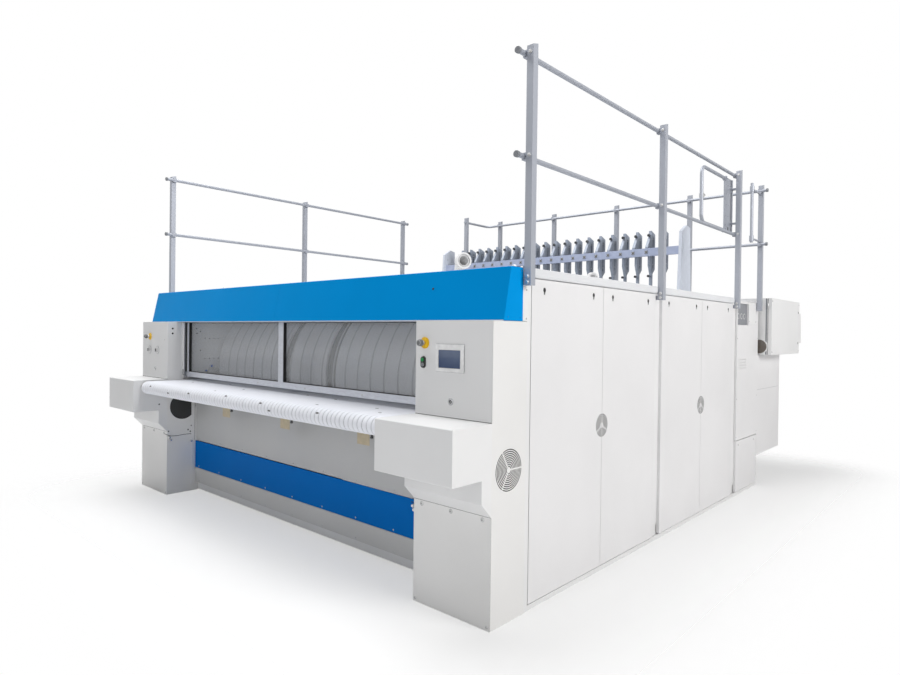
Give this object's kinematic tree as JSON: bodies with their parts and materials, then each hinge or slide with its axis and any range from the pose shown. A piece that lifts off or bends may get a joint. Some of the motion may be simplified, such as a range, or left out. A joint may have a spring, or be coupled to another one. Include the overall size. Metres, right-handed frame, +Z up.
{
  "type": "flatwork ironer",
  "caption": "Industrial flatwork ironer with padded rolls in heated chests, a feed table with a lifting window, guard rails on the roof and a row of tape tensioners.",
  "frame": {"origin": "centre of the bounding box's bottom face, on the floor", "axes": "+Z up, -Y towards the operator at the feed table, +X to the operator's right"},
  "size_m": [4.218, 5.471, 2.864],
  "materials": {
    "white_paint": "satin",
    "grey_paint": "satin",
    "blue_paint": "gloss",
    "frame_steel": "satin",
    "galvanised": "satin",
    "polished_steel": "polished",
    "roll_padding": "woven",
    "belt_cotton": "woven",
    "pane": "clear",
    "black_plastic": "matte",
    "yellow_plastic": "gloss",
    "green_plastic": "gloss",
    "grey_plastic": "matte",
    "red_plastic": "gloss",
    "cast_grey": "painted"
  },
  "bodies": {
    "housing": {"main_frame": "frame_steel", "side_frame_right": "frame_steel", "side_frame_left": "frame_steel", "roof_panel": "white_paint", "vapour_outlet_1": "white_paint", "vapour_outlet_2": "white_paint", "fascia_right": "blue_paint", "fascia_left": "blue_paint", "pedestal_right": "white_paint", "pedestal_left": "white_paint", "inlet_cover_right": "white_paint", "inlet_cover_left": "white_paint", "front_sheet": "grey_paint", "coloured_panel": "blue_paint", "kick_plate": "white_paint", "feed_belt": "belt_cotton", "table_bed": "grey_paint", "chest_front": "polished_steel", "chest_rear": "polished_steel", "chest_bridge": "polished_steel", "roll_drive_front": "cast_grey", "roll_drive_rear": "cast_grey", "rear_housing": "white_paint", "electrical_cabinet": "white_paint", "cabinet_hood": "white_paint", "guard_rail_right": "galvanised", "guard_rail_left": "galvanised", "guard_rail_rear": "galvanised", "tension_beam": "galvanised"},
    "window": {"window_frame": "grey_paint", "window_glass": "pane"},
    "control_door_right": {"control_door_right": "white_paint", "stop_collar_right": "yellow_plastic", "operator_panel": "grey_plastic", "push_switch": "black_plastic"},
    "control_door_left": {"control_door_left": "white_paint", "stop_collar_left": "yellow_plastic"},
    "stop_head_right": {"stop_head_right": "grey_plastic"},
    "stop_head_left": {"stop_head_left": "grey_plastic"},
    "start_button": {"start_button": "green_plastic"},
    "stop_button": {"stop_button": "black_plastic"},
    "selector_1": {"selector_1": "black_plastic"},
    "selector_2": {"selector_2": "black_plastic"},
    "nose_roller": {"nose_roller": "polished_steel"},
    "feed_roller": {"feed_roller": "polished_steel"},
    "delivery_roller": {"delivery_roller": "polished_steel"},
    "roll_front": {"roll_front": "roll_padding"},
    "roll_rear": {"roll_rear": "roll_padding"},
    "rear_door_right": {"rear_door_right": "white_paint"},
    "rear_door_left": {"rear_door_left": "white_paint"},
    "cabinet_door": {"cabinet_door": "white_paint"},
    "safety_gate": {"safety_gate": "galvanised"},
    "side_panel_1_right": {"side_panel_1_right": "white_paint"},
    "side_panel_1_left": {"side_panel_1_left": "white_paint"},
    "side_panel_2_right": {"side_panel_2_right": "white_paint"},
    "side_panel_2_left": {"side_panel_2_left": "white_paint"},
    "side_panel_3_right": {"side_panel_3_right": "white_paint"},
    "side_panel_3_left": {"side_panel_3_left": "white_paint"},
    "side_panel_4_right": {"side_panel_4_right": "white_paint"},
    "side_panel_4_left": {"side_panel_4_left": "white_paint"}
  },
  "joints": [
    {"name": "window_lift", "type": "slide", "parent": "housing", "child": "window", "axis": [0, 0, 1], "range_m": [0, 0.23]},
    {"name": "control_door_right_swing", "type": "hinge", "parent": "housing", "child": "control_door_right", "pos_m": [1.739, -2.4525, 1.478], "axis": [-1, 0, 0], "range_deg": [0, 40]},
    {"name": "control_door_left_swing", "type": "hinge", "parent": "housing", "child": "control_door_left", "pos_m": [-1.801, -2.4525, 1.478], "axis": [-1, 0, 0], "range_deg": [0, 40]},
    {"name": "stop_push_right", "type": "slide", "parent": "control_door_right", "child": "stop_head_right", "axis": [0, 1, 0], "range_m": [0, 0.005]},
    {"name": "stop_push_left", "type": "slide", "parent": "control_door_left", "child": "stop_head_left", "axis": [0, 1, 0], "range_m": [0, 0.005]},
    {"name": "start_push", "type": "slide", "parent": "control_door_right", "child": "start_button", "axis": [0, 1, 0], "range_m": [0, 0.003], "stiffness_N_per_m": 400},
    {"name": "stop_button_push", "type": "slide", "parent": "control_door_right", "child": "stop_button", "axis": [0, 1, 0], "range_m": [0, 0.003], "stiffness_N_per_m": 400},
    {"name": "selector_1_turn", "type": "hinge", "parent": "control_door_left", "child": "selector_1", "pos_m": [-1.912, -2.4555, 1.234], "axis": [0, 1, 0], "range_deg": [0, 90]},
    {"name": "selector_2_turn", "type": "hinge", "parent": "control_door_left", "child": "selector_2", "pos_m": [-1.751, -2.4555, 1.234], "axis": [0, 1, 0], "range_deg": [0, 90]},
    {"name": "roll_front_turn", "type": "hinge", "parent": "housing", "child": "roll_front", "pos_m": [-0.031, -1.4005, 1.085], "axis": [1, 0, 0], "continuous": true},
    {"name": "roll_rear_turn", "type": "hinge", "parent": "housing", "child": "roll_rear", "pos_m": [-0.031, 0.1745, 1.085], "axis": [1, 0, 0], "continuous": true},
    {"name": "nose_roller_turn", "type": "hinge", "parent": "housing", "child": "nose_roller", "pos_m": [-0.031, -2.6275, 0.93], "axis": [-1, 0, 0], "continuous": true},
    {"name": "feed_roller_turn", "type": "hinge", "parent": "housing", "child": "feed_roller", "pos_m": [-0.031, -2.1105, 0.93], "axis": [-1, 0, 0], "continuous": true},
    {"name": "delivery_roller_turn", "type": "hinge", "parent": "housing", "child": "delivery_roller", "pos_m": [-0.031, 2.2545, 0.905], "axis": [-1, 0, 0], "continuous": true},
    {"name": "side_panel_1_right_tilt", "type": "hinge", "parent": "housing", "child": "side_panel_1_right", "pos_m": [1.999, -1.773, 0.035], "axis": [0, 1, 0], "range_deg": [0, 20]},
    {"name": "side_panel_1_left_tilt", "type": "hinge", "parent": "housing", "child": "side_panel_1_left", "pos_m": [-2.061, -1.773, 0.035], "axis": [0, -1, 0], "range_deg": [0, 20]},
    {"name": "side_panel_2_right_tilt", "type": "hinge", "parent": "housing", "child": "side_panel_2_right", "pos_m": [1.999, -1.038, 0.035], "axis": [0, 1, 0], "range_deg": [0, 20]},
    {"name": "side_panel_2_left_tilt", "type": "hinge", "parent": "housing", "child": "side_panel_2_left", "pos_m": [-2.061, -1.038, 0.035], "axis": [0, -1, 0], "range_deg": [0, 20]},
    {"name": "side_panel_3_right_tilt", "type": "hinge", "parent": "housing", "child": "side_panel_3_right", "pos_m": [1.999, -0.198, 0.035], "axis": [0, 1, 0], "range_deg": [0, 20]},
    {"name": "side_panel_3_left_tilt", "type": "hinge", "parent": "housing", "child": "side_panel_3_left", "pos_m": [-2.061, -0.198, 0.035], "axis": [0, -1, 0], "range_deg": [0, 20]},
    {"name": "side_panel_4_right_tilt", "type": "hinge", "parent": "housing", "child": "side_panel_4_right", "pos_m": [1.999, 0.532, 0.035], "axis": [0, 1, 0], "range_deg": [0, 20]},
    {"name": "side_panel_4_left_tilt", "type": "hinge", "parent": "housing", "child": "side_panel_4_left", "pos_m": [-2.061, 0.532, 0.035], "axis": [0, -1, 0], "range_deg": [0, 20]},
    {"name": "rear_door_right_tilt", "type": "hinge", "parent": "housing", "child": "rear_door_right", "pos_m": [1.999, 1.3045, 0.035], "axis": [0, 1, 0], "range_deg": [0, 20]},
    {"name": "rear_door_left_tilt", "type": "hinge", "parent": "housing", "child": "rear_door_left", "pos_m": [-2.061, 1.3045, 0.035], "axis": [0, -1, 0], "range_deg": [0, 20]},
    {"name": "cabinet_door_swing", "type": "hinge", "parent": "housing", "child": "cabinet_door", "pos_m": [2.109, 1.6445, 1.515], "axis": [0, 0, -1], "range_deg": [0, 110]},
    {"name": "gate_swing", "type": "hinge", "parent": "housing", "child": "safety_gate", "pos_m": [1.954, 0.9445, 2.55], "axis": [0, 0, -1], "range_deg": [0, 90]}
  ],
  "couplings": [
    {"joint": "roll_rear_turn", "follows": "roll_front_turn", "ratio": 1},
    {"joint": "nose_roller_turn", "follows": "roll_front_turn", "ratio": 12},
    {"joint": "feed_roller_turn", "follows": "roll_front_turn", "ratio": 12},
    {"joint": "delivery_roller_turn", "follows": "roll_front_turn", "ratio": 13.5}
  ]
}
